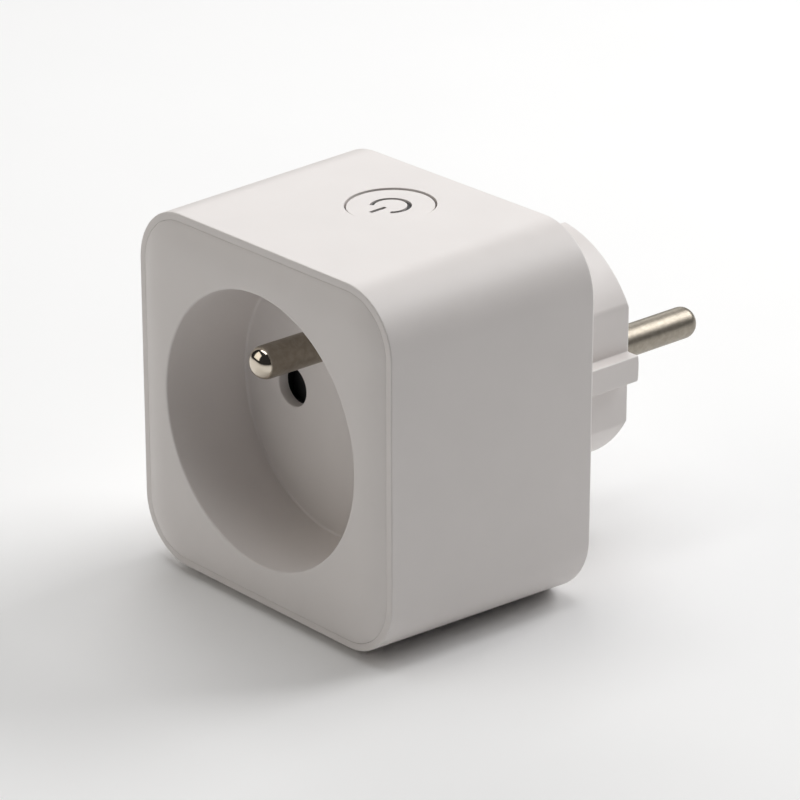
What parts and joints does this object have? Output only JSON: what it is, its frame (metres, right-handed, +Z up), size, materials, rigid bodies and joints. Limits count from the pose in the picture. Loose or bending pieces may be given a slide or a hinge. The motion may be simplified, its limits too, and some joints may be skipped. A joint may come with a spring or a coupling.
{
  "type": "smart plug",
  "caption": "Mains smart plug: drafted rounded-square casing with a recessed pin-earth socket, a power button on top and a round two-pin plug nose behind.",
  "frame": {"origin": "centre of the engagement face, the flat end of the plug nose that meets the wall socket", "axes": "+Y along the plug pins towards the wall, +Z up through the button, +X to the right seen from the socket side"},
  "size_m": [0.0558, 0.0754, 0.0558],
  "materials": {
    "casing_plastic": "satin moulded polycarbonate, warm white",
    "nickel_plate": "satin nickel plating, turned along the pin",
    "contact_brass": "stamped bright",
    "black_plastic": "fine matt",
    "nylon": "natural nylon, matt",
    "circuit_board": "solder-masked glass epoxy",
    "tin_plate": "tinned, dull",
    "ferrite": "fired ferrite, matt",
    "winding_tape": "wrapped polyester tape",
    "film_case": "moulded box, satin",
    "can_sleeve": "shrunk sleeve",
    "varistor_coat": "dipped epoxy",
    "resistor_coat": "cement coating",
    "smoke_plastic": "smoked translucent",
    "lamp_resin": "clear resin",
    "spring_steel": "bright wire"
  },
  "bodies": {
    "casing": {"front_cover": "casing_plastic", "body_shell": "casing_plastic", "rear_cover": "casing_plastic", "line_pin": "nickel_plate", "neutral_pin": "nickel_plate", "earth_pin": "nickel_plate", "earth_clip_upper": "nickel_plate", "earth_clip_lower": "nickel_plate", "earth_bridge": "contact_brass", "earth_receptacle": "contact_brass", "line_strap": "tin_plate", "neutral_strap": "tin_plate", "shutter_tray": "black_plastic", "shutter_spring": "spring_steel", "line_contact": "contact_brass", "neutral_contact": "contact_brass", "contact_holder": "nylon", "power_board": "circuit_board", "board_screws": "spring_steel", "film_capacitor": "film_case", "transformer_core": "ferrite", "transformer_winding": "winding_tape", "smoothing_capacitors": "can_sleeve", "surge_varistor": "varistor_coat", "fuse_resistor": "resistor_coat", "board_chips": "black_plastic", "relay_cover": "black_plastic", "relay_base": "black_plastic", "relay_coil": "winding_tape", "relay_yoke": "spring_steel", "relay_contact": "contact_brass", "switch_body": "black_plastic", "control_board": "circuit_board", "indicator_lamp": "lamp_resin", "board_header": "black_plastic", "radio_board": "circuit_board", "radio_shield": "tin_plate"},
    "button": {"button_cap": "casing_plastic", "button_light_guide": "smoke_plastic", "switch_plunger": "black_plastic"},
    "shutter": {"shutter_slider": "black_plastic"},
    "armature": {"relay_armature": "spring_steel"}
  },
  "joints": [
    {"name": "button_press", "type": "slide", "parent": "casing", "child": "button", "axis": [0, 0, -1], "range_m": [0, 0.0003], "stiffness_N_per_m": 600, "springref_m": -0.0005},
    {"name": "shutter_slide", "type": "slide", "parent": "casing", "child": "shutter", "axis": [1, 0, 0], "range_m": [0, 0.0062], "stiffness_N_per_m": 40, "springref_m": -0.004, "deforming": ["shutter_spring"]},
    {"name": "armature_swing", "type": "hinge", "parent": "casing", "child": "armature", "pos_m": [0.0032, -0.0369, -0.01635], "axis": [0, 0, -1], "range_deg": [0, 3.5], "stiffness_Nm_per_rad": 0.004, "springref_deg": -2.86}
  ]
}
